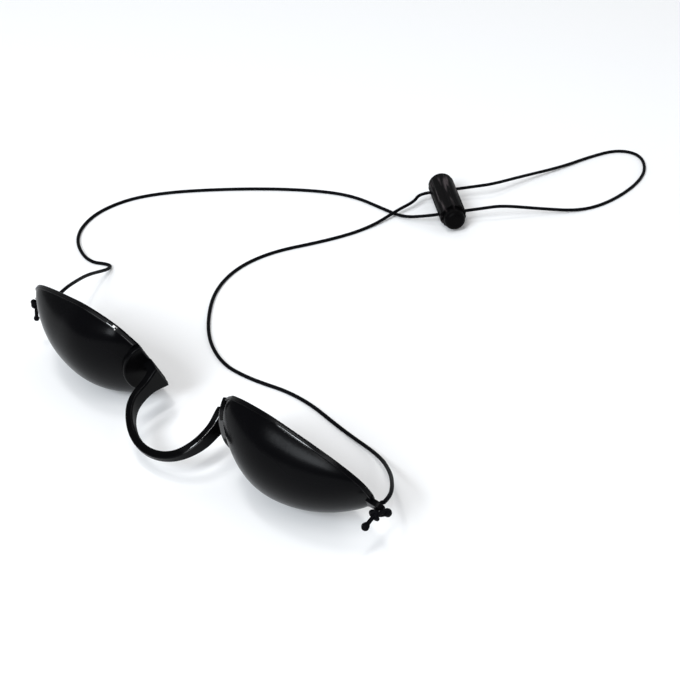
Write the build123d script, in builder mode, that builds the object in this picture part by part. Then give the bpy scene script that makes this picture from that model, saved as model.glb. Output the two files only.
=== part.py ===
"""Tanning goggles: two opaque eye cups on a nose bridge, an elastic cord knotted to both cups and a cord
lock on its back loop. Millimetres, +Z up. The goggles lie as they were photographed: cups on their lower
flanks, openings turned back and up, the cord spread out behind them on the floor."""
import math
import os
from build123d import *

os.makedirs("parts", exist_ok=True)

# eye cups: sizes along the rim run from the middle of the nose outwards
nose_reach = 17.2          # middle of the nose to a cup's nose wall, at the rim
crown_reach = 35.5         # middle of the nose to the widest section of a cup
tip_reach = 64.1           # middle of the nose to the outer end of a dome
tip_lift = 1.8             # outer end of a dome above the middle of the rim
dome_half_width = 17.0
dome_rise = 13.35          # dome height above its short straight foot
dome_foot = 0.5
cup_wall = 1.5
rim_height = 1.4
rim_lip = 0.35             # how far the rim stands proud of the dome
rim_round = 0.3
nose_lean = 22.8           # degrees by which the nose walls open towards the front
nose_width_share = 0.56    # dome width left at the nose wall, of its full width
nose_rise_share = 0.35
nose_power_shares = (3.6, 1.9)     # exponents of the dome's plan and side profile towards the nose
temple_power_shares = (1.13, 2.1)  # the same towards the temple, where both run out to a blunt point
temple_fullness_shares = (0.4, 0.88)
nose_station_shares = (1.1, 0.85, 0.57, 0.29, 0)      # sections of the loft, of crown to nose wall
temple_station_shares = (0.2, 0.4, 0.58, 0.74, 0.86, 0.94, 0.985)

# lug at each outer end, with the cord's hole
lug_beyond = 1.8           # from the end of the dome to the hole
lug_reach = tip_reach + lug_beyond
lug_drop = 0.9             # hole below the middle of the rim
lug_width = 3.4
lug_thickness = 1.7
lug_lift = 0.4
lug_hole = 1.7
lug_inside = 3.3           # how far the lug runs in under the rim
lug_root = lug_beyond + lug_inside

# nose bridge
pad_thickness = 1.5
pad_margin = 0.3           # pad beyond the cup's nose wall, all round
pad_round = 0.5
nose_gap = 24.4            # clear width between the strap's legs
nose_gap_depth = 20.25     # from the rims to the underside of the arch
arch_thickness = 2.2
leg_thickness = 2.2
strap_foot = 2.4           # depth of the strap where it meets the pads, from the rims
strap_foot_lift = 0.3
strap_heel = 0.15          # strap inside the back edge of a pad
strap_lift = 0.55          # strap above the middle of the rim
strap_upper_reach = 3.0    # strap at the pads, above and below its own middle
strap_lower_reach = 6.8
strap_round = 0.5
# arch seen from above: reach as a share of half the gap or of the legs' outside, depth of the apex's
under_shares = [(0.968, 0.1), (1, 0.395), (0.966, 0.598), (0.861, 0.73), (0.706, 0.838), (0.446, 0.941)]
over_shares = [(0.996, 0.242), (1, 0.357), (0.966, 0.563), (0.858, 0.711), (0.698, 0.83), (0.432, 0.94)]
# strap seen from the front: how much of its reach at the pads is left, at shares of the depth
upper_shares = [(1, 0), (0.95, 0.13), (0.67, 0.28), (0.67, 0.45), (0.53, 0.656), (0.19, 0.806), (0, 0.903),
                (-0.06, 1.02)]
lower_shares = [(1, 0), (0.79, 0.12), (0.51, 0.28), (0.41, 0.45), (0.335, 0.656), (0.35, 0.806),
                (0.372, 0.903), (0.376, 1.02)]

# pose of the goggles on the floor
goggles_x, goggles_y = 0.0, 6.8
rim_lean = 64.3            # degrees between the cups' front direction and straight down

lean_sin, lean_cos = math.sin(math.radians(rim_lean)), math.cos(math.radians(rim_lean))
seat_height = dome_foot * lean_cos + math.hypot(dome_rise * lean_cos, dome_half_width * lean_sin)
# goggles frame: x across, y from the floor side to the upper side of the rim, z out of the domes' fronts
goggles = Plane(origin=(goggles_x, goggles_y, seat_height), x_dir=(1, 0, 0), z_dir=(0, -lean_sin, -lean_cos))

# elastic cord and its lock
cord_diameter = 1.1
cord_radius = cord_diameter / 2
lock_x, lock_y = -21.9, 144.8
lock_turn = -39.8          # degrees in plan from +X to the lock's button end
lock_rise = 4.0            # degrees by which the strands climb through the lock
lock_length = 23.2
lock_diameter = 9.0
lock_wall = 0.9
lock_end_round = 2.6
lock_mouth_round = 0.4
lock_flutes = 10
flute_depth = 0.3
flute_width = 1.1
strand_pitch = 14.5
strand_hole = 2.4
strand_clearance = 0.08     # between a strand and the side of the hole that grips it
button_clearance = 0.07
button_reach = 3.8         # button proud of the lock's mouth at rest
button_travel = 1.4
button_dome = 1.6
button_far_wall = 1.1      # button beyond its far strand slot
spring_wire = 0.36
spring_coils = 2.5
spring_diameter = 4.6


# knots and tails: places in the goggles frame measured from a lug's hole, mirrored for the cup on -X
left_knot_radius, right_knot_radius = 1.15, 0.95
knot_loop_radius = 0.5
left_knot_side = ((3.0, 1.5, -0.3), (3.0, -0.8, 0.1))       # wrap beside the lug, from where the run ends
left_knot_front = ((-0.3, 0.4, 3.1), (1.6, 0.4, 2.2))       # wrap in front of the hole
left_tail_end = (0.8, 0.4, 6.0)
right_knot_side = ((0.9, -0.4, -2.0), (1.0, -1.8, -1.9))
right_knot_front = ((0.0, 1.5, 1.9), (0.0, 0.5, 2.0))
right_tail_end = (0.1, -4.6, 4.4)
left_bead, right_bead = 2.5, 1.9

# corners of the cord's three free stretches, before rounding: x, y and height of the centreline
floor_level = cord_radius
right_run = [(-66.9, 12.0, 14.9), (-67.1, 16.2, 13.9), (-70.2, 22.2, 11.8), (-74.9, 30.2, 8.0),
             (-78.6, 38.0, 3.7), (-80.7, 43.2, 1.1), (-83.0, 45.8, floor_level), (-90.1, 41.5, floor_level),
             (-104.0, 47.9, floor_level), (-111.0, 61.0, floor_level), (-110.2, 75.5, floor_level),
             (-104.2, 87.2, floor_level), (-94.8, 98.6, floor_level), (-80.3, 113.0, floor_level),
             (-65.0, 124.9, floor_level), (-52.8, 130.9, floor_level), (-39.2, 131.4, floor_level),
             (-30.2, 131.2, 1.0)]
left_run = [(-31.9, 139.2, 3.0), (-33.3, 132.0, 2.3), (-34.8, 120.0, floor_level),
            (-39.0, 105.8, floor_level), (-51.3, 82.0, floor_level), (-49.2, 60.4, floor_level),
            (-33.9, 41.5, floor_level), (-19.6, 33.3, floor_level), (-7.6, 33.2, floor_level),
            (9.4, 37.7, floor_level), (30.0, 34.3, floor_level), (44.4, 32.0, 2.0), (54.6, 24.2, 7.6),
            (61.8, 16.4, 13.2), (66.2, 10.4, 15.9)]
back_loop = [(-14.3, 176.4, 3.5), (-9.7, 195.8, 1.0), (-6.5, 210.0, floor_level),
             (-2.0, 220.8, floor_level), (6.2, 223.4, floor_level), (13.9, 215.2, floor_level),
             (17.0, 202.8, floor_level), (16.3, 186.7, floor_level), (11.8, 175.5, floor_level),
             (2.6, 164.0, 3.0)]
bend_share = 0.45          # of the shorter run beside a corner that its bend takes
strand_lead = 4.0          # straight cord at the lock's mouths, on the cups' side
slide_range = 7.0          # straight cord behind the lock, along which it slides
strand_spread = 6.0        # cord beyond the slide up to the corner whose bend begins there


def plan_width(reach, half_width, tip):
    """half width of a dome at one reach from the middle of the nose"""
    if reach < crown_reach:
        t = (crown_reach - reach) / (crown_reach - nose_reach)
        return half_width * (1 - (1 - nose_width_share) * t ** nose_power_shares[0])
    t = (reach - crown_reach) / (tip - crown_reach)
    return half_width * (1 - t ** temple_power_shares[0]) ** temple_fullness_shares[0]


def side_rise(reach, rise, tip):
    """dome height at one reach from the middle of the nose"""
    if reach < crown_reach:
        t = (crown_reach - reach) / (crown_reach - nose_reach)
        return rise * (1 - (1 - nose_rise_share) * t ** nose_power_shares[1])
    t = (reach - crown_reach) / (tip - crown_reach)
    return rise * (1 - t ** temple_power_shares[1]) ** temple_fullness_shares[1]


def middle(reach, tip):
    """how far a dome's section lies above the middle of the rim"""
    return tip_lift * max(0, (reach - crown_reach) / (tip - crown_reach)) ** 2


def stations(tip):
    """reaches of the dome's sections, closer together towards the pointed temple end"""
    nose_side = [crown_reach - (crown_reach - nose_reach) * share for share in nose_station_shares]
    temple_side = [crown_reach + (tip - crown_reach) * share for share in temple_station_shares]
    return nose_side + temple_side


def dome(half_width, rise, tip, foot_from):
    """solid dome: half-elliptical sections on straight feet, lofted along the cup"""
    with BuildPart() as solid:
        for reach in stations(tip):
            w, h = plan_width(reach, half_width, tip), side_rise(reach, rise, tip)
            with BuildSketch(Plane(origin=(reach, middle(reach, tip), 0), x_dir=(0, 1, 0), z_dir=(1, 0, 0))):
                with BuildLine():
                    Line((-w, foot_from), (-w, dome_foot))
                    EllipticalCenterArc((0, dome_foot), w, h, start_angle=0, arc_size=180)
                    Line((w, dome_foot), (w, foot_from))
                    Line((w, foot_from), (-w, foot_from))
                make_face()
        loft()
    return solid.part


def nose_plane(setback):
    """the leaning plane of the nose wall, moved setback into the cup; its normal points into the cup"""
    lean = math.radians(nose_lean)
    normal = Vector(math.cos(lean), 0, -math.sin(lean))
    return Plane(origin=Vector(nose_reach, 0, 0) + normal * setback, x_dir=(0, 1, 0), z_dir=normal)


def export(part, name):
    part.label = name
    export_step(part, f"parts/{name}.step")
    print(name, "volume", round(part.volume, 1))


# eye cup, first the one on +X
with BuildPart() as rim_band:
    with BuildSketch():
        with BuildLine():
            halves = [(x, middle(x, tip_reach), plan_width(x, dome_half_width, tip_reach) + rim_lip)
                      for x in stations(tip_reach)]
            outline = [(x, y + half) for x, y, half in halves] + [(tip_reach + rim_lip, tip_lift)]
            outline += [(x, y - half) for x, y, half in reversed(halves)]
            edge = Spline(*outline)
            Line(edge @ 1, edge @ 0)
        make_face()
    extrude(amount=rim_height)
    fillet(rim_band.edges().filter_by(GeomType.BSPLINE), rim_round)

with BuildPart() as cup_blank:
    add(rim_band.part)
    add(dome(dome_half_width, dome_rise, tip_reach, 0))
    split(bisect_by=nose_plane(0), keep=Keep.TOP)

with BuildPart() as hollow:
    add(dome(dome_half_width - cup_wall, dome_rise - cup_wall, tip_reach - cup_wall, -rim_height))
    split(bisect_by=nose_plane(cup_wall), keep=Keep.TOP)

with BuildPart() as lug:
    with BuildSketch(Plane.XY.offset(lug_lift)):
        with Locations((lug_reach, -lug_drop)):
            Circle(lug_width / 2)
        with Locations((lug_reach - lug_root / 2, -lug_drop)):
            Rectangle(lug_root, lug_width)
    extrude(amount=lug_thickness)
    fillet(lug.edges(), rim_round)

with BuildPart() as left_cup:
    add(cup_blank.part)
    add(lug.part)
    add(hollow.part, mode=Mode.SUBTRACT)
    with Locations((lug_reach, -lug_drop, lug_lift)):
        Cylinder(lug_hole / 2, 3 * lug_thickness, mode=Mode.SUBTRACT)
export(left_cup.part.moved(goggles.location), "left_eye_cup")
right_cup = mirror(left_cup.part, about=Plane.YZ)
export(right_cup.moved(goggles.location), "right_eye_cup")

# nose bridge: a thin pad on each nose wall and the arched strap between them
lean_slope = math.tan(math.radians(nose_lean))
nose_top = dome_foot
for _ in range(40):
    nose_top = dome_foot + side_rise(nose_reach + nose_top * lean_slope, dome_rise, tip_reach)
pad_height = nose_top / math.cos(math.radians(nose_lean)) + pad_margin
pad_half_width = plan_width(nose_reach, dome_half_width, tip_reach) + pad_margin

with BuildPart() as nose_pad:
    with BuildSketch(nose_plane(0)):
        with BuildLine():
            Line((-pad_half_width, 0), (-pad_half_width, rim_height))
            EllipticalCenterArc((0, rim_height), pad_half_width, pad_height - rim_height, start_angle=0,
                                arc_size=180)
            Line((pad_half_width, rim_height), (pad_half_width, 0))
            Line((pad_half_width, 0), (-pad_half_width, 0))
        make_face()
    extrude(amount=-pad_thickness)
    fillet(nose_pad.faces().sort_by(Axis((0, 0, 0), nose_plane(0).z_dir))[0].edges(), pad_round)

arch_depth = nose_gap_depth + arch_thickness
legs_reach = nose_gap / 2 + leg_thickness
root_reach = nose_reach - pad_thickness / 2


def mirrored(points, apex):
    """points of one side of the arch, the apex and the other side"""
    return points + [(0, apex)] + [(-x, depth) for x, depth in reversed(points)]


with BuildPart() as strap:
    with BuildSketch(Plane(origin=(0, 0, 0), x_dir=(1, 0, 0), z_dir=(0, -1, 0))):
        with BuildLine():
            inner = [(nose_gap / 2 * x, nose_gap_depth * depth) for x, depth in under_shares]
            outer = [(legs_reach * x, arch_depth * depth) for x, depth in over_shares]
            under = Spline(*mirrored(inner, nose_gap_depth))
            over = Spline(*mirrored(outer, arch_depth))
            heel = nose_reach - pad_thickness - strap_heel
            for side, inside, outside in ((1, under @ 0, over @ 0), (-1, under @ 1, over @ 1)):
                Polyline(outside, (side * legs_reach, strap_foot + leg_thickness / 2),
                         (side * (root_reach + strap_foot * lean_slope), strap_foot),
                         (side * root_reach, strap_foot_lift), (side * heel, strap_foot_lift), inside)
        make_face()
    extrude(amount=pad_half_width, both=True)
    with BuildSketch(Plane.YZ, mode=Mode.PRIVATE) as strap_front:
        with BuildLine():
            upper_side = Spline(*[(strap_lift + strap_upper_reach * y, arch_depth * depth)
                                  for y, depth in upper_shares])
            lower_side = Spline(*[(strap_lift - strap_lower_reach * y, arch_depth * depth)
                                  for y, depth in lower_shares])
            Line(upper_side @ 0, lower_side @ 0)
            Line(upper_side @ 1, lower_side @ 1)
        make_face()
    extrude(strap_front.sketch, amount=tip_reach, both=True, mode=Mode.INTERSECT)
    long_edges = strap.edges().filter_by(lambda edge: edge.length > arch_depth)
    fillet(long_edges, strap_round)

with BuildPart() as bridge:
    add(strap.part)
    add(nose_pad.part)
    add(mirror(nose_pad.part, about=Plane.YZ))
export(bridge.part.moved(goggles.location), "nose_bridge")

# cord lock: frame with z along the body to the button end and x up, centred between the strands
turn, rise = math.radians(lock_turn), math.radians(lock_rise)
lock_axis = Vector(math.cos(turn), math.sin(turn), 0)
strand_way = Vector(-math.sin(turn) * math.cos(rise), math.cos(turn) * math.cos(rise), math.sin(rise))
lock = Plane(origin=(lock_x, lock_y, lock_diameter / 2), x_dir=strand_way, z_dir=lock_axis)
mouth = lock_length / 2 - button_reach / 2
closed_end = mouth - lock_length
button_radius = lock_diameter / 2 - lock_wall - button_clearance
button_back = -strand_pitch / 2 - cord_radius - button_far_wall
spring_room = button_back - closed_end - lock_wall

with BuildPart() as lock_shell:
    with BuildSketch(Plane.XY.offset(closed_end)):
        Circle(lock_diameter / 2)
    extrude(amount=lock_length)
    fillet(lock_shell.faces().sort_by(Axis.Z)[0].edges(), lock_end_round)
    fillet(lock_shell.faces().sort_by(Axis.Z)[-1].edges(), lock_mouth_round)
    with PolarLocations(lock_diameter / 2 + flute_width - flute_depth, lock_flutes):
        Cylinder(flute_width, 2 * lock_length, mode=Mode.SUBTRACT)
    with BuildSketch(Plane.XY.offset(closed_end + lock_wall)):
        Circle(lock_diameter / 2 - lock_wall)
    extrude(amount=lock_length, mode=Mode.SUBTRACT)
    for side in (-1, 1):
        hole_middle = side * strand_pitch / 2 + cord_radius + strand_clearance - strand_hole / 2
        with Locations(Location((0, 0, hole_middle), (0, 90, 0))):
            Cylinder(strand_hole / 2, 2 * lock_diameter, mode=Mode.SUBTRACT)
export(lock_shell.part.moved(lock.location), "cord_lock_shell")

slot_length = strand_hole + button_travel
with BuildPart() as button:
    with BuildSketch(Plane.XY.offset(button_back)):
        Circle(button_radius)
    extrude(amount=mouth + button_reach - button_back)
    fillet(button.faces().sort_by(Axis.Z)[-1].edges(), button_dome)
    for side in (-1, 1):
        slot_middle = side * strand_pitch / 2 - cord_radius - strand_clearance + slot_length / 2
        with BuildSketch(Plane(origin=(0, 0, slot_middle), x_dir=(0, 0, 1), z_dir=(1, 0, 0))):
            SlotOverall(slot_length, strand_hole)
        extrude(amount=lock_diameter, both=True, mode=Mode.SUBTRACT)
export(button.part.moved(lock.location), "cord_lock_button")

with BuildPart() as spring:
    spring_length = spring_room - button_travel - spring_wire
    pitch = spring_length / spring_coils
    with BuildLine() as coil:
        Helix(pitch, spring_length, spring_diameter / 2)
    with BuildSketch(Plane(origin=coil.line @ 0, z_dir=coil.line % 0)):
        Circle(spring_wire / 2)
    sweep(is_frenet=True)
print("spring gap between turns", round(pitch - spring_wire, 2))
spring_place = Location((0, 0, closed_end + lock_wall + spring_wire / 2))
export(spring.part.moved(spring_place).moved(lock.location), "cord_lock_spring")


def corner_radii(points):
    """bend radius at each corner, from the shorter run beside it and how far the cord turns there"""
    radii = []
    for before, corner, after in zip(points, points[1:], points[2:]):
        run_in, run_out = corner - before, after - corner
        half_turn = math.radians(run_in.get_angle(run_out)) / 2
        radii.append(bend_share * min(run_in.length, run_out.length) / math.tan(half_turn))
    return radii


def cord(points, name):
    """round cord along straight runs joined by tangent bends"""
    points = [Vector(point) for point in points]
    radii = corner_radii(points)
    with BuildPart() as stretch:
        with BuildLine() as route:
            if radii:
                FilletPolyline(*points, radius=radii)
            else:
                Line(*points)
        with BuildSketch(Plane(origin=route.line @ 0, z_dir=route.line % 0)):
            Circle(cord_radius)
        sweep()
    length = sum(piece.length for piece in route.edges())
    share = math.pi * cord_radius ** 2 * length / stretch.part.volume
    print(name, "length", round(length, 1), "section times length over volume", round(share, 3))
    print("  runs", [round((b - a).length, 1) for a, b in zip(points, points[1:])])
    print("  radii", [round(radius, 1) for radius in radii])
    return stretch.part


def at_lock(strand, along):
    """point on a strand, -1 by the lock's closed end or 1 by its button, this far along from the middle"""
    middle_of_lock = Vector(lock_x, lock_y, lock_diameter / 2)
    return middle_of_lock + lock_axis * (strand * strand_pitch / 2) + strand_way * along


def at_lug(side, offset):
    """point measured in the goggles frame from the middle of a lug's hole, side 1 for the one on +X"""
    x, y, z = offset
    local = (side * (lug_reach + x), y - lug_drop, lug_lift + lug_thickness / 2 + z)
    return goggles.from_local_coords(Vector(local))


half_lock = lock_diameter / 2
near_exit = -half_lock - strand_lead
far_exit = half_lock + slide_range + strand_spread
right_points = [at_lug(-1, right_knot_side[0])] + right_run + [at_lock(1, near_exit), at_lock(1, -half_lock)]
left_points = [at_lock(-1, -half_lock), at_lock(-1, near_exit)] + left_run + [at_lug(1, left_knot_side[0])]
loop_points = [at_lock(-1, half_lock), at_lock(-1, far_exit)] + back_loop + [
    at_lock(1, far_exit), at_lock(1, half_lock)]
right_cord, left_cord = cord(right_points, "right run"), cord(left_points, "left run")
export(right_cord, "right_cord_run")
export(left_cord, "left_cord_run")
export(cord(loop_points, "back loop"), "cord_back_loop")
export(cord([at_lock(1, -half_lock), at_lock(1, half_lock)], "right strand"), "right_strand_in_lock")
export(cord([at_lock(-1, -half_lock), at_lock(-1, half_lock)], "left strand"), "left_strand_in_lock")


def rod(start, end, radius):
    """straight round bar from start to end with round ends"""
    way = end - start
    with BuildPart() as bar:
        with BuildSketch(Plane(origin=start, z_dir=way)):
            Circle(radius)
        extrude(amount=way.length)
        with Locations(start, end):
            Sphere(radius)
    return bar.part


def knot(side, wrap_side, wrap_front, wrap_radius, run):
    """cord knotted round a lug: a wrap where the run ends, a loop through the hole and a wrap in front"""
    side_from, side_to = (at_lug(side, offset) for offset in wrap_side)
    front_from, front_to = (at_lug(side, offset) for offset in wrap_front)
    behind = at_lug(side, (0, 0, -1.5 * lug_thickness))
    through = at_lug(side, (0, 0, lug_thickness))
    with BuildPart() as lump:
        add(rod(side_from, side_to, wrap_radius))
        add(rod(front_from, front_to, wrap_radius))
        add(rod(side_from, behind, knot_loop_radius))
        add(rod(behind, through, knot_loop_radius))
        add(rod(through, (front_from + front_to) / 2, knot_loop_radius))
        add(run, mode=Mode.SUBTRACT)
    return lump.part


def tail(side, wrap_front, end, bead, lump):
    """loose cord end out of the front wrap, with its melted bead"""
    start = (at_lug(side, wrap_front[0]) + at_lug(side, wrap_front[1])) / 2
    with BuildPart() as loose:
        add(rod(start, at_lug(side, end), cord_radius))
        with Locations(at_lug(side, end)):
            Sphere(bead / 2)
        add(lump, mode=Mode.SUBTRACT)
    return loose.part


left_knot = knot(1, left_knot_side, left_knot_front, left_knot_radius, left_cord)
right_knot = knot(-1, right_knot_side, right_knot_front, right_knot_radius, right_cord)
export(left_knot, "left_cord_knot")
export(right_knot, "right_cord_knot")
export(tail(1, left_knot_front, left_tail_end, left_bead, left_knot), "left_cord_tail")
export(tail(-1, right_knot_front, right_tail_end, right_bead, right_knot), "right_cord_tail")
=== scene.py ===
# %% [markdown]
# # Tanning goggles with an elastic cord
#
# Two opaque black eye cups hang on a nose bridge. A thin elastic cord is knotted through the lug at
# each outer end, and both of its strands pass through a cord lock that sets how tightly the goggles
# sit.
#
# The hard pieces come from the CAD model and keep their meshes. Blender gives them their finish,
# and makes what CAD does badly: the cord with its braid, and the knots.

# %% The frame from CAD
import math

import bmesh
import bpy
from mathutils import Matrix, Vector, noise


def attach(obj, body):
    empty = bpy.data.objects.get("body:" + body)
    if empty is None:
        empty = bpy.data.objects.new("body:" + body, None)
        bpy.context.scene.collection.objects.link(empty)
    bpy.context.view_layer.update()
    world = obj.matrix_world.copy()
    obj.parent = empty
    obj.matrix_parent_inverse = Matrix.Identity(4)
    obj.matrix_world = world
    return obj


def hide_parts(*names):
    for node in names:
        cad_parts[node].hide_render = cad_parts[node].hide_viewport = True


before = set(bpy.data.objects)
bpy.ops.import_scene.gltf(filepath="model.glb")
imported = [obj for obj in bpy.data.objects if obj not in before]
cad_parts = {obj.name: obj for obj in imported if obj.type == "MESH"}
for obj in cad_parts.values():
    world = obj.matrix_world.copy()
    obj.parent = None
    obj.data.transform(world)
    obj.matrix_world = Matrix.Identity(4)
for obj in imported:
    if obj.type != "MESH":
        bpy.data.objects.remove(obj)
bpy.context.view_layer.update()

# %% [markdown]
# ## The camera
#
# The goggles were photographed from above their right-hand front corner, with a long lens. The
# camera has no roll, so one direction and one place settle it.

# %% Camera
camera_back = Vector((0.5348, -0.5949, 0.6000)).normalized()
camera_place = Vector((0.2276, -0.1879, 0.2558))

camera_data = bpy.data.cameras.new("photo_camera")
camera_data.lens = 74.39
camera_data.sensor_width = 36
camera = bpy.data.objects.new("photo_camera", camera_data)
bpy.context.scene.collection.objects.link(camera)
camera_right = Vector((0, 0, 1)).cross(camera_back).normalized()
camera_up = camera_back.cross(camera_right)
turn = Matrix((camera_right, camera_up, camera_back)).transposed().to_4x4()
camera.matrix_world = Matrix.Translation(camera_place) @ turn
bpy.context.scene.camera = camera

# %% [markdown]
# ## A small language for shader maths
#
# A material is a sum of small operations. Wrapping a node's output in a class that knows plus,
# minus and times lets the maths read as maths, while Blender still gets its Math nodes.

# %% Wires and finishes
class Wire:
    """one output of a node, which can be added, multiplied and so on"""

    def __init__(self, finish, socket):
        self.finish, self.socket = finish, socket

    def maths(self, operation, *values):
        return self.finish.node("ShaderNodeMath", {"operation": operation}, dict(enumerate(values)))

    def __add__(self, other):
        return self.maths("ADD", self, other)

    def __mul__(self, other):
        return self.maths("MULTIPLY", self, other)

    def __sub__(self, other):
        return self.maths("SUBTRACT", self, other)

    def __rsub__(self, other):
        return self.maths("SUBTRACT", other, self)

    def sine(self):
        return self.maths("SINE", self)


class Finish:
    """a material built from nodes, with its main shader ready"""

    def __init__(self, name):
        self.material = bpy.data.materials.new(name)
        self.material.use_nodes = True
        self.tree = self.material.node_tree
        self.shader = self.tree.nodes["Principled BSDF"]

    def node(self, kind, settings=None, inputs=None, output=0):
        made = self.tree.nodes.new(kind)
        for key, value in (settings or {}).items():
            setattr(made, key, value)
        for key, value in (inputs or {}).items():
            self.feed(made.inputs[key], value)
        return Wire(self, made.outputs[output])

    def feed(self, socket, value):
        if isinstance(value, Wire):
            self.tree.links.new(value.socket, socket)
        else:
            socket.default_value = value

    def surface(self, inputs):
        for key, value in inputs.items():
            self.feed(self.shader.inputs[key], value)
        return self.material

    def place(self):
        return self.node("ShaderNodeTexCoord", output="Object")

    def noise(self, scale, detail=3.0):
        return self.node("ShaderNodeTexNoise", {},
                         {"Vector": self.place(), "Scale": scale, "Detail": detail})

    def dot(self, vector, direction):
        return self.node("ShaderNodeVectorMath", {"operation": "DOT_PRODUCT"},
                         {0: vector, 1: tuple(direction)}, "Value")

    def height(self, direction, origin=(0, 0, 0)):
        """how far a place of the object lies from origin along a direction, in metres"""
        place = self.node("ShaderNodeVectorMath", {"operation": "SUBTRACT"},
                          {0: self.place(), 1: tuple(origin)})
        return self.dot(place, direction)

    def facing(self, direction):
        """1 where the surface faces a direction, 0 where it is edge on to it"""
        return self.dot(self.node("ShaderNodeTexCoord", output="Normal"), direction)

    def band(self, value, low, high, soft):
        """1 where the value is between low and high, with soft borders"""
        rise = self.node("ShaderNodeMapRange", {"interpolation_type": "SMOOTHSTEP"},
                         {"Value": value, "From Min": low - soft, "From Max": low + soft})
        fall = self.node("ShaderNodeMapRange", {"interpolation_type": "SMOOTHSTEP"},
                         {"Value": value, "From Min": high - soft, "From Max": high + soft})
        return rise - fall

    def mix(self, factor, first, second):
        """one colour where the factor is 0, the other where it is 1"""
        return self.node("ShaderNodeMix", {"data_type": "RGBA"},
                         {"Factor": factor, 6: first, 7: second}, 2)

    def bump(self, height, distance, strength):
        return self.node("ShaderNodeBump", {},
                         {"Height": height, "Distance": distance, "Strength": strength})


# %% [markdown]
# ## The cord's finish
#
# Elastic cord is a bundle of rubber threads in a braided sleeve. The braid runs round the cord in
# two directions, so its height is the product of two waves that climb the cord to the left and to
# the right. They read two values that the tube carries: how far along the cord a point is, and
# where it is on the ring.

# %% Cord finish
braid_turns = 6.0
braid_per_metre = 900.0
braid_height = 0.00008
# the braid's grooves are painted darker as shade, and the crests keep the lighter colour
groove_shade_colour, crest_colour = (0.0005, 0.0005, 0.0009, 1), (0.0026, 0.0026, 0.0038, 1)
groove_roughness, crest_polish = 0.62, 0.14
cord_gloss = 0.04

cord = Finish("elastic_cord")
along = cord.node("ShaderNodeAttribute", {"attribute_name": "along"}, output="Fac")
ring = cord.node("ShaderNodeAttribute", {"attribute_name": "ring"}, output="Vector")
ring_parts = cord.node("ShaderNodeSeparateXYZ", {}, {"Vector": ring})
ring_x, ring_y = (Wire(cord, ring_parts.socket.node.outputs[index]) for index in (0, 1))
ring_angle = ring_x.maths("ARCTAN2", ring_y, ring_x)
climb = along * (2 * math.pi * braid_per_metre)
left_wave = (climb + ring_angle * braid_turns).sine()
right_wave = (climb - ring_angle * braid_turns).sine()
braid = left_wave * right_wave * 0.5 + 0.5
cord.surface({
    # painted shade in the grooves of the braid
    "Base Color": cord.mix(braid, groove_shade_colour, crest_colour),
    "Roughness": groove_roughness - braid * crest_polish,
    "Specular IOR Level": cord_gloss,
    "Normal": cord.bump(braid, braid_height, 0.8),
})

# %% [markdown]
# ## A tube that follows a path
#
# One Geometry Nodes tree turns any path into a cord. It resamples the path evenly, sweeps a ring
# along it, closes the ends, and leaves the two values for the braid on the mesh.

# %% Tube tree
cord_radius = 0.00055
cord_sides = 16
run_step, knot_step = 0.0005, 0.00025     # between two rings of the tube


def tube_tree():
    tree = bpy.data.node_groups.new("cord_tube", "GeometryNodeTree")
    face = tree.interface
    face.new_socket("Geometry", in_out="INPUT", socket_type="NodeSocketGeometry")
    for name in ("Radius", "Step"):
        face.new_socket(name, in_out="INPUT", socket_type="NodeSocketFloat")
    face.new_socket("Sides", in_out="INPUT", socket_type="NodeSocketInt")
    face.new_socket("Material", in_out="INPUT", socket_type="NodeSocketMaterial")
    face.new_socket("Geometry", in_out="OUTPUT", socket_type="NodeSocketGeometry")
    nodes, link = tree.nodes, tree.links.new
    start, end = nodes.new("NodeGroupInput"), nodes.new("NodeGroupOutput")

    even = nodes.new("GeometryNodeResampleCurve")
    even.mode = "LENGTH"
    link(start.outputs["Geometry"], even.inputs["Curve"])
    link(start.outputs["Step"], even.inputs["Length"])

    spot = nodes.new("GeometryNodeSplineParameter")
    keep_along = nodes.new("GeometryNodeStoreNamedAttribute")
    keep_along.data_type = "FLOAT"
    keep_along.domain = "POINT"
    keep_along.inputs["Name"].default_value = "along"
    link(even.outputs["Curve"], keep_along.inputs["Geometry"])
    link(spot.outputs["Length"], keep_along.inputs["Value"])

    circle = nodes.new("GeometryNodeCurvePrimitiveCircle")
    link(start.outputs["Sides"], circle.inputs["Resolution"])
    link(start.outputs["Radius"], circle.inputs["Radius"])
    ring_place = nodes.new("GeometryNodeInputPosition")
    keep_ring = nodes.new("GeometryNodeStoreNamedAttribute")
    keep_ring.data_type = "FLOAT_VECTOR"
    keep_ring.domain = "POINT"
    keep_ring.inputs["Name"].default_value = "ring"
    link(circle.outputs["Curve"], keep_ring.inputs["Geometry"])
    link(ring_place.outputs["Position"], keep_ring.inputs["Value"])

    sweep = nodes.new("GeometryNodeCurveToMesh")
    sweep.inputs["Fill Caps"].default_value = True
    link(keep_along.outputs["Geometry"], sweep.inputs["Curve"])
    link(keep_ring.outputs["Geometry"], sweep.inputs["Profile Curve"])
    smooth = nodes.new("GeometryNodeSetShadeSmooth")
    link(sweep.outputs["Mesh"], smooth.inputs["Geometry"])
    real = nodes.new("GeometryNodeRealizeInstances")
    link(smooth.outputs["Geometry"], real.inputs["Geometry"])
    coat = nodes.new("GeometryNodeSetMaterial")
    link(real.outputs["Geometry"], coat.inputs["Geometry"])
    link(start.outputs["Material"], coat.inputs["Material"])
    link(coat.outputs["Geometry"], end.inputs["Geometry"])
    return tree


cord_tube = tube_tree()


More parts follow.
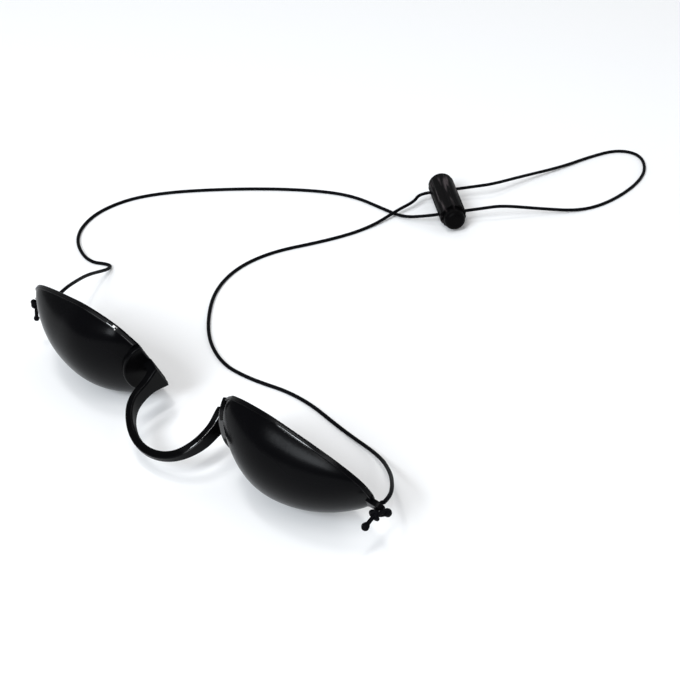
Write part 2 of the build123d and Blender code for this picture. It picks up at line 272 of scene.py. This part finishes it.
def path_curve(name, points):
    """one open smooth spline through the air, with the given points in metres as its control points"""
    data = bpy.data.curves.new(name, "CURVE")
    data.dimensions = "3D"
    spline = data.splines.new("NURBS")
    spline.points.add(len(points) - 1)
    for point, place in zip(spline.points, points):
        point.co = (*place, 1)
    spline.order_u = 3
    spline.use_endpoint_u = True
    spline.resolution_u = 16
    piece = bpy.data.objects.new(name, data)
    bpy.context.scene.collection.objects.link(piece)
    return piece


def as_mesh(piece):
    """the evaluated piece as a plain mesh"""
    bpy.context.view_layer.update()
    graph = bpy.context.evaluated_depsgraph_get()
    return bpy.data.meshes.new_from_object(piece.evaluated_get(graph), depsgraph=graph)


def make_cord(name, points, step):
    """a piece of cord along a path, the points that it follows, and its length"""
    route = path_curve(name + "_route", points)
    route_points = [tuple(vertex.co) for vertex in as_mesh(route).vertices]
    modifier = route.modifiers.new("tube", "NODES")
    modifier.node_group = cord_tube
    sockets = {item.name: item.identifier for item in cord_tube.interface.items_tree
               if item.in_out == "INPUT"}
    modifier[sockets["Radius"]] = cord_radius
    modifier[sockets["Step"]] = step
    modifier[sockets["Sides"]] = cord_sides
    modifier[sockets["Material"]] = cord.material
    mesh = as_mesh(route)
    bpy.data.objects.remove(route)
    piece = bpy.data.objects.new(name, mesh)
    bpy.context.scene.collection.objects.link(piece)
    length = sum(math.dist(a, b) for a, b in zip(route_points, route_points[1:]))
    print(name, "is", round(1000 * length, 1), "mm long with", len(mesh.polygons), "faces")
    return piece, route_points, length


# %% [markdown]
# ## Where the goggles and the lock are
#
# The goggles lean on their lower flanks. Their own coordinates run across the nose, up the rim and
# out of the domes' fronts, so a place on a lug is easy to say in them. The lock has its own
# directions too: along its body to the button, and along the strands.

# %% Places
rim_lean = math.radians(64.3)
rim_middle = Vector((0, 0.0068, 0.016593))
rim_up = Vector((0, -math.cos(rim_lean), math.sin(rim_lean)))
rim_out = Vector((0, -math.sin(rim_lean), -math.cos(rim_lean)))


def on_goggles(x, y, z):
    """a place in the goggles' own coordinates, in metres"""
    return rim_middle + Vector((x, 0, 0)) + rim_up * y + rim_out * z


lug_reach, lug_drop, lug_middle = 0.0659, 0.0009, 0.00125


def at_lug(side, x, y, z):
    """a place measured in millimetres from the middle of a lug's hole, side 1 for the lug on +X"""
    return on_goggles(side * (lug_reach + x / 1000), y / 1000 - lug_drop, lug_middle + z / 1000)


lock_middle = Vector((-0.0219, 0.1448, 0.0045))
lock_turn, lock_rise = math.radians(-39.8), math.radians(4.0)
strand_reach = 0.00725     # from the lock's middle to a strand
lock_axis = Vector((math.cos(lock_turn), math.sin(lock_turn), 0))
strand_way = Vector((-math.sin(lock_turn) * math.cos(lock_rise),
                     math.cos(lock_turn) * math.cos(lock_rise), math.sin(lock_rise)))


def at_lock(strand, along_strand):
    """a place in millimetres along a strand; strand is 1 for the one by the button, else -1"""
    return lock_middle + lock_axis * (strand * strand_reach) + strand_way * (along_strand / 1000)


def in_metres(rows):
    return [Vector(row) / 1000 for row in rows]


# %% [markdown]
# ## The cord's three free stretches
#
# From each cup a strand runs back to the lock, and behind the lock the cord makes a long loop. Each
# stretch is a smooth spline whose control points are its corners on the floor. Behind the lock
# three points in line keep each strand straight for as far as the lock slides.

# %% Cord stretches
floor_level = 0.55         # the middle of a cord that lies on the floor, in millimetres
lock_face = 4.5            # from the middle of the lock to where a strand comes out
lead_point = 8.5           # a point in line with the strand, on the cups' side
slide_points = (lock_face, 11.0, 17.5)     # points in line with the strand, behind the lock
right_route = [at_lug(-1, 0.9, -0.4, -2.0)] + in_metres([
    (-67.1, 12.9, 12.7), (-67.1, 16.2, 13.9), (-70.2, 22.2, 11.8), (-74.9, 30.2, 8.0),
    (-78.6, 38.0, 3.7), (-80.7, 43.2, 1.1), (-83.0, 45.8, floor_level),
    (-90.1, 41.5, floor_level), (-104.0, 47.9, floor_level), (-111.0, 61.0, floor_level),
    (-110.2, 75.5, floor_level), (-104.2, 87.2, floor_level), (-94.8, 98.6, floor_level),
    (-80.3, 113.0, floor_level), (-65.0, 124.9, floor_level), (-52.8, 130.9, floor_level),
    (-39.2, 131.4, floor_level), (-30.2, 131.2, 1.0),
]) + [at_lock(1, -lead_point), at_lock(1, -lock_face)]
left_route = [at_lock(-1, -lock_face), at_lock(-1, -lead_point)] + in_metres([
    (-31.9, 139.2, 3.0), (-33.3, 132.0, 2.3), (-34.8, 120.0, floor_level),
    (-39.0, 105.8, floor_level), (-51.3, 82.0, floor_level), (-49.2, 60.4, floor_level),
    (-33.9, 41.5, floor_level), (-19.6, 33.3, floor_level), (-7.6, 33.2, floor_level),
    (9.4, 37.7, floor_level), (30.0, 34.3, floor_level), (44.4, 32.0, 2.0),
    (54.6, 24.2, 7.6), (61.8, 16.4, 13.2), (66.2, 10.4, 15.9),
]) + [at_lug(1, 0.8, 0.5, -1.5)]
loop_route = [at_lock(-1, along_strand) for along_strand in slide_points] + in_metres([
    (-14.3, 176.4, 3.5), (-9.7, 195.8, 1.0), (-6.5, 210.0, floor_level), (-2.0, 220.8, floor_level),
    (6.2, 223.4, floor_level), (13.9, 215.2, floor_level), (17.0, 202.8, floor_level),
    (16.3, 186.7, floor_level), (11.8, 175.5, floor_level), (2.6, 164.0, 3.0),
]) + [at_lock(1, along_strand) for along_strand in reversed(slide_points)]

stretches = {}
for node, route in (("right_cord_run", right_route), ("left_cord_run", left_route),
                    ("cord_back_loop", loop_route)):
    piece, path, length = make_cord("braided_" + node, route, run_step)
    stretches[node] = (piece, path, length)
    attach(piece, "goggles")
    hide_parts(node)

# %% [markdown]
# ## The strands inside the lock
#
# Inside the lock the two strands run straight through the holes of shell and button.

# %% Strands in the lock
strand_end = 4.6           # a little past the lock's face, so that no gap shows there
for node, strand in (("right_strand_in_lock", 1), ("left_strand_in_lock", -1)):
    spots = [at_lock(strand, along_strand) for along_strand in (-strand_end, 0, strand_end)]
    piece = make_cord("braided_" + node, spots, run_step)[0]
    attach(piece, "goggles")
    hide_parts(node)

# %% [markdown]
# ## The knots
#
# Each end of the cord goes through its lug and winds round in tight lobes, two at the near lug and
# one at the far lug, before it leaves as a short tail. A lobe is a helix that climbs a cord's width
# each turn, so that its windings press on each other. The whole knot is one path for the same tube.

# %% Knots
places_per_turn = 8


def turn_round(middle, way, start, turns, reach=1.2):
    """the places of a lobe, in millimetres: a helix along a way, so many turns long"""
    way = Vector(way).normalized()
    first = Vector(start) - way * Vector(start).dot(way)
    first.normalize()
    second = way.cross(first)
    count = round(places_per_turn * turns)
    places = []
    for index in range(count + 1):
        share = index / count
        angle = 2 * math.pi * turns * share
        climb = 2000 * cord_radius * turns * (share - 0.5)
        outwards = first * math.cos(angle) + second * math.sin(angle)
        places.append(tuple(Vector(middle) + way * climb + outwards * reach))
    return places


beside_lug = turn_round((3.05, 0.1, 0.1), (0.2, 1.0, 0.2), (-0.6, 0, 1.0), 1.6, 0.6)
before_hole = turn_round((0.8, 0.3, 2.4), (0.1, 0.1, 1.0), (1.0, 0.4, 0), 1.0)
left_knot = (
    [(0.8, 0.5, -1.5), (0.3, 0.2, -1.5), (0, 0, -0.9), (0, 0, 0), (0, 0, 1.0), (0.5, -0.2, 1.7),
     (1.6, -0.4, 1.6)]
    + beside_lug + [(2.3, 1.0, 1.1)] + before_hole
    + [(1.0, 1.0, 1.9), (0.8, 0.6, 1.7), (0.8, 0.3, 2.4), (0.8, 0.3, 3.2)]
)
right_knot = (
    [(0.9, -0.4, -2.0), (0.5, -0.2, -1.8), (0, 0, -1.2), (0, 0, 0), (0, 0, 1.2), (0.5, 0.6, 1.5)]
    + turn_round((0.1, 0.8, 2.1), (0, -1.0, 0.5), (1.0, 0, 0), 1.4, 0.75)
    + [(0.0, 0.2, 1.8), (0.2, -0.4, 2.1), (0.4, -1.0, 2.5)]
)
for node, side, places in (("left_cord_knot", 1, left_knot),
                           ("right_cord_knot", -1, right_knot)):
    spots = [at_lug(side, *place) for place in places]
    piece = make_cord("braided_" + node, spots, knot_step)[0]
    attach(piece, "goggles")
    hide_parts(node)

# %% [markdown]
# ## The melted ends
#
# A loose end of elastic is held in a flame until its sleeve shrinks to a bead, so that it can't
# fray. The bead is a ball of about a thousand faces whose points are pushed in and out by a smooth
# noise, and pulled out a little towards the cord. It goes into the tail's mesh, since the two are
# one piece.

# %% Tails with beads
broad_lumps, fine_lumps = 0.10, 0.03       # as shares of the bead's radius
neck_pull = 0.2


def bead_on(piece, middle, back, radius):
    """adds a lumpy bead at the end of a tail; back points along the cord, away from its end"""
    mesh = bmesh.new()
    mesh.from_mesh(piece.data)
    ball = bmesh.ops.create_icosphere(mesh, subdivisions=4, radius=radius)["verts"]
    for vertex in ball:
        way = vertex.co.normalized()
        broad = broad_lumps * noise.noise(way * 1.6 + Vector((0, 3, 0)))
        lump = 1 + broad + fine_lumps * noise.noise(way * 5)
        neck = neck_pull * max(0, way.dot(back)) ** 4
        vertex.co = middle + way * radius * (lump + neck)
    for face in mesh.faces:
        face.smooth = True
    mesh.to_mesh(piece.data)
    mesh.free()


# each tail: side, places in millimetres from the lug's hole, radius of its bead in millimetres
tail_rows = {
    "left_cord_tail": (1, [(0.8, 0.3, 3.2), (0.7, 0.3, 4.6), (0.75, 0.3, 6.1)], 1.05),
    "right_cord_tail": (-1, [(0.4, -1.0, 2.5), (0.75, -2.7, 3.3), (0.9, -4.6, 4.4)], 0.85),
}
for node, (side, places, bead_radius) in tail_rows.items():
    spots = [at_lug(side, *place) for place in places]
    piece = make_cord("braided_" + node, spots, knot_step)[0]
    bead_on(piece, spots[-1], (spots[-2] - spots[-1]).normalized(), bead_radius / 1000)
    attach(piece, "goggles")
    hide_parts(node)

# %% [markdown]
# ## The free cords again
#
# Each stretch's piece, path and length are taken from the table once more; nothing further is done
# with them.

# %% Free cords
piece, path, length = stretches["right_cord_run"]
piece, path, length = stretches["left_cord_run"]
piece, path, length = stretches["cord_back_loop"]

# %% [markdown]
# ## Plastic of the cups and the bridge
#
# Cups and bridge are of the same opaque black plastic, but not with one gloss. The domes are softly
# polished, so a lamp makes a broad patch on them. Hands and cloths rub some edges bright: a stretch
# of each rim's lip and the outer edge of the strap's left leg. A coat that is only there where the
# place and the facing of the surface say edge gives that second gloss.

# %% Cup and bridge plastic
coat_roughness, coat_ior = 0.07, 1.7
drift_scale, grain_scale, wave_scale = 120.0, 2600.0, 90.0     # patches, grain, broad waves
matt_share = 0.5           # how much rougher the faces on the skin's side are
lip_band = (0.00055, 0.00150)              # the rim's lip, along rim_out
leg_band = (0.0035, 0.0165)                # the strap's leg, along rim_out
near_rub, far_rub = (0.040, 0.0485), (-0.032, -0.017)      # the rubbed stretches, along X


def black_plastic(name, colour, roughness, waviness, gloss, edge):
    """one of the two mouldings; edge says where the finish is rubbed bright"""
    finish = Finish(name)
    drift = finish.noise(drift_scale, 4.0)
    grain = finish.noise(grain_scale, 2.0)
    matt = finish.band(finish.facing(rim_out), -2.0, -0.8, 0.1)
    shade = finish.mix(drift, colour, tuple(1.6 * part for part in colour[:3]) + (1,))
    return finish.surface({
        "Base Color": shade,
        "Roughness": drift * 0.08 + grain * 0.05 + matt * matt_share + roughness,
        "IOR": 1.5,
        "Specular IOR Level": gloss,
        "Normal": finish.bump(finish.noise(wave_scale, 1.0) + grain * 0.02, waviness, 0.5),
        "Coat Weight": edge(finish),
        "Coat Roughness": coat_roughness,
        "Coat IOR": coat_ior,
    })


def lip_edge(finish):
    """the two stretches of the rims' upper lips that thumbs rub"""
    across = finish.height((1, 0, 0))
    lip = finish.band(finish.height(rim_out, rim_middle), *lip_band, 0.00008)
    return lip * (finish.band(across, *near_rub, 0.002) + finish.band(across, *far_rub, 0.003))


def strap_edge(finish):
    """the outer edge of the strap's left leg"""
    leg = finish.band(finish.height((1, 0, 0)), 0.004, 1.0, 0.002)
    leg = leg * finish.band(finish.height(rim_out, rim_middle), *leg_band, 0.001)
    return leg * finish.band(finish.facing(rim_up), 0.25, 0.95, 0.06)


cup_black = black_plastic("cup_black", colour=(0.0012, 0.0012, 0.0015, 1), roughness=0.17,
                          waviness=0.00005, gloss=0.048, edge=lip_edge)
bridge_black = black_plastic("bridge_black", colour=(0.0012, 0.0012, 0.0014, 1), roughness=0.16,
                             waviness=0.00003, gloss=0.05, edge=strap_edge)

# %% [markdown]
# ## Plastic of the cord lock
#
# The lock is a cheaper, duller moulding. Long pale streaks on its ribs, all along its length, are
# painted highlights, so they are a noise on the angle round the lock, which hardly changes along it.

# %% Lock plastic and spring steel
# the second colour is painted highlight, for the pale streaks along the ribs
lock_colour, highlight_streak_colour = (0.0008, 0.0008, 0.0010, 1), (0.055, 0.046, 0.048, 1)
lock_gloss = 0.025
highlight_threshold = 0.60       # a higher value leaves fewer painted highlight streaks
highlight_reach = 0.0095      # the painted highlight streaks end where the lock's ends grow round

lock = Finish("lock_black")
along_lock = lock.height(lock_axis, lock_middle)
lock_grain = lock.noise(3800.0, 3.0)
lock_up = lock.height((0, 0, 1), lock_middle)
lock_angle = lock_up.maths("ARCTAN2", lock_up, lock.height(strand_way, lock_middle))
# the painted highlight streaks, laid into the lock's base colour
spot = lock.node("ShaderNodeCombineXYZ", {}, {"X": lock_angle * 1.4, "Y": along_lock * 40.0})
highlight_noise = lock.node("ShaderNodeTexNoise", {}, {"Vector": spot, "Scale": 1.6, "Detail": 2.0})
from_middle = along_lock.maths("ABSOLUTE", along_lock)
streak = lock.band(highlight_noise, highlight_threshold, 2.0, 0.06)
streak = streak * lock.band(from_middle, -1.0, highlight_reach, 0.002)
lock.surface({
    "Base Color": lock.mix(streak * 0.97 + lock_grain * 0.03, lock_colour, highlight_streak_colour),
    "Roughness": lock_grain * 0.12 + 0.34,
    "Specular IOR Level": lock_gloss,
    "Normal": lock.bump(lock_grain, 0.00003, 0.5),
})
steel = Finish("spring_steel")
steel.surface({
    "Base Color": (0.62, 0.61, 0.59, 1),
    "Metallic": 1.0,
    "Roughness": steel.noise(1500.0) * 0.15 + 0.22,
})

# %% Finishes on the CAD pieces
finish_of = {
    "left_eye_cup": cup_black,
    "right_eye_cup": cup_black,
    "nose_bridge": bridge_black,
    "cord_lock_shell": lock.material,
    "cord_lock_button": lock.material,
    "cord_lock_spring": steel.material,
}
for node, material in finish_of.items():
    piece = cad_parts[node]
    for slot in piece.material_slots:
        slot.material = material

# %% [markdown]
# ## Floor and light
#
# The photograph has a white ground, hardly any shadow, and black plastic that shows light only
# where it mirrors a lamp. A window before the goggles makes one broad patch on each dome. Two large
# lamps behind them fill the shadows. A long strip overhead draws the line down the strap's left
# leg, and a small top lamp the lines on the lips.

# %% Floor
floor_mesh = bpy.data.meshes.new("floor")
floor_reach = 6.0
corners = [(-1, -1), (1, -1), (1, 1), (-1, 1)]
floor_mesh.from_pydata([(x * floor_reach, y * floor_reach, 0) for x, y in corners], [],
                       [(0, 1, 2, 3)])
floor = bpy.data.objects.new("floor", floor_mesh)
bpy.context.scene.collection.objects.link(floor)
paper = Finish("white_paper")
floor_mesh.materials.append(paper.surface({
    "Base Color": (0.9, 0.9, 0.9, 1),
    "Roughness": paper.noise(40.0) * 0.05 + 0.85,
    "Specular IOR Level": 0.1,
}))

# %% Lamps
lamp_target = Vector((0, 0.02, 0.015))


def lamp(name, direction, distance, width, height, power, colour=(1, 1, 1), along=(0, 0, 1)):
    """a soft lamp that looks at the goggles; its height runs along a given direction"""
    data = bpy.data.lights.new(name, "AREA")
    data.shape = "RECTANGLE"
    data.size, data.size_y = width, height
    data.energy = power
    data.color = colour
    made = bpy.data.objects.new(name, data)
    way = Vector(direction).normalized()
    across = Vector(along).cross(way).normalized()
    turn = Matrix((across, way.cross(across), way)).transposed().to_4x4()
    made.matrix_world = Matrix.Translation(lamp_target + way * distance) @ turn
    bpy.context.scene.collection.objects.link(made)


lamp("window", (0.09, -0.77, 0.64), distance=1.6, width=0.66, height=0.66, power=22.5,
     colour=(0.90, 0.95, 1.0))
lamp("back_left", (-0.85, 0.60, 0.60), distance=1.7, width=2.2, height=2.2, power=8.5)
lamp("back_right", (0.75, 0.65, 0.60), distance=1.7, width=2.2, height=2.2, power=12.0)
lamp("strip", (0.22, -0.36, 0.90), distance=0.8, width=0.07, height=0.40, power=1.6,
     along=(0.1, 0.5, 0.33))
lamp("top", (-0.14, -0.14, 0.98), distance=0.8, width=0.16, height=0.12, power=1.0)

world = bpy.data.worlds.new("studio")
bpy.context.scene.world = world
world.use_nodes = True
background = world.node_tree.nodes["Background"].inputs
background["Color"].default_value = (0.95, 0.97, 1.0, 1)
background["Strength"].default_value = 0.22
bpy.context.scene.view_settings.view_transform = "Standard"
